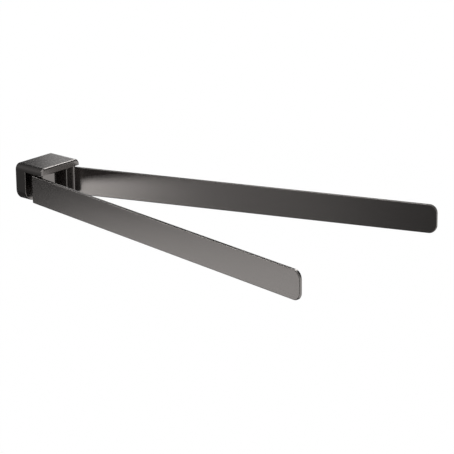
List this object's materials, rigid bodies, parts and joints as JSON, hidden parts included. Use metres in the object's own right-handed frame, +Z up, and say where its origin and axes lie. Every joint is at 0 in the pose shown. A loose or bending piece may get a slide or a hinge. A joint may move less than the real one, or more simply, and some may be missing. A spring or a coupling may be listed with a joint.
{
  "type": "swing arm towel bar",
  "caption": "Wall mounted towel holder: flat bars swing sideways on upright pivots under the top of a soft cornered bracket and stay where they are put.",
  "frame": {"origin": "centre of the bracket's back face, on the wall", "axes": "+Y into the wall, +Z up, +X to the right for someone who faces the wall; the bars reach out towards -Y"},
  "size_m": [0.2452, 0.4315, 0.04],
  "materials": {
    "gunmetal_casting": "satin gunmetal plating",
    "gunmetal_bar": "satin gunmetal plating",
    "bare_steel": "machined, zinc plated",
    "bush_plastic": "moulded, plain"
  },
  "bodies": {
    "bracket": {"bracket_housing": "gunmetal_casting", "mounting_plate": "bare_steel", "lock_screw": "bare_steel", "left_pivot_bolt": "bare_steel", "left_thrust_washer": "bare_steel", "left_disc_spring": "bare_steel", "right_pivot_bolt": "bare_steel", "right_thrust_washer": "bare_steel", "right_disc_spring": "bare_steel"},
    "left_arm": {"left_bar": "gunmetal_bar", "left_knuckle": "gunmetal_bar", "left_upper_bush": "bush_plastic", "left_lower_bush": "bush_plastic", "left_end_cap": "gunmetal_bar"},
    "right_arm": {"right_bar": "gunmetal_bar", "right_knuckle": "gunmetal_bar", "right_upper_bush": "bush_plastic", "right_lower_bush": "bush_plastic", "right_end_cap": "gunmetal_bar"}
  },
  "joints": [
    {"name": "left_swing", "type": "hinge", "parent": "bracket", "child": "left_arm", "pos_m": [-0.0147, -0.029, 0], "axis": [0, 0, 1], "range_deg": [-82.2, 7.8]},
    {"name": "right_swing", "type": "hinge", "parent": "bracket", "child": "right_arm", "pos_m": [0.0147, -0.029, 0], "axis": [0, 0, 1], "range_deg": [-19.7, 70.3]}
  ]
}
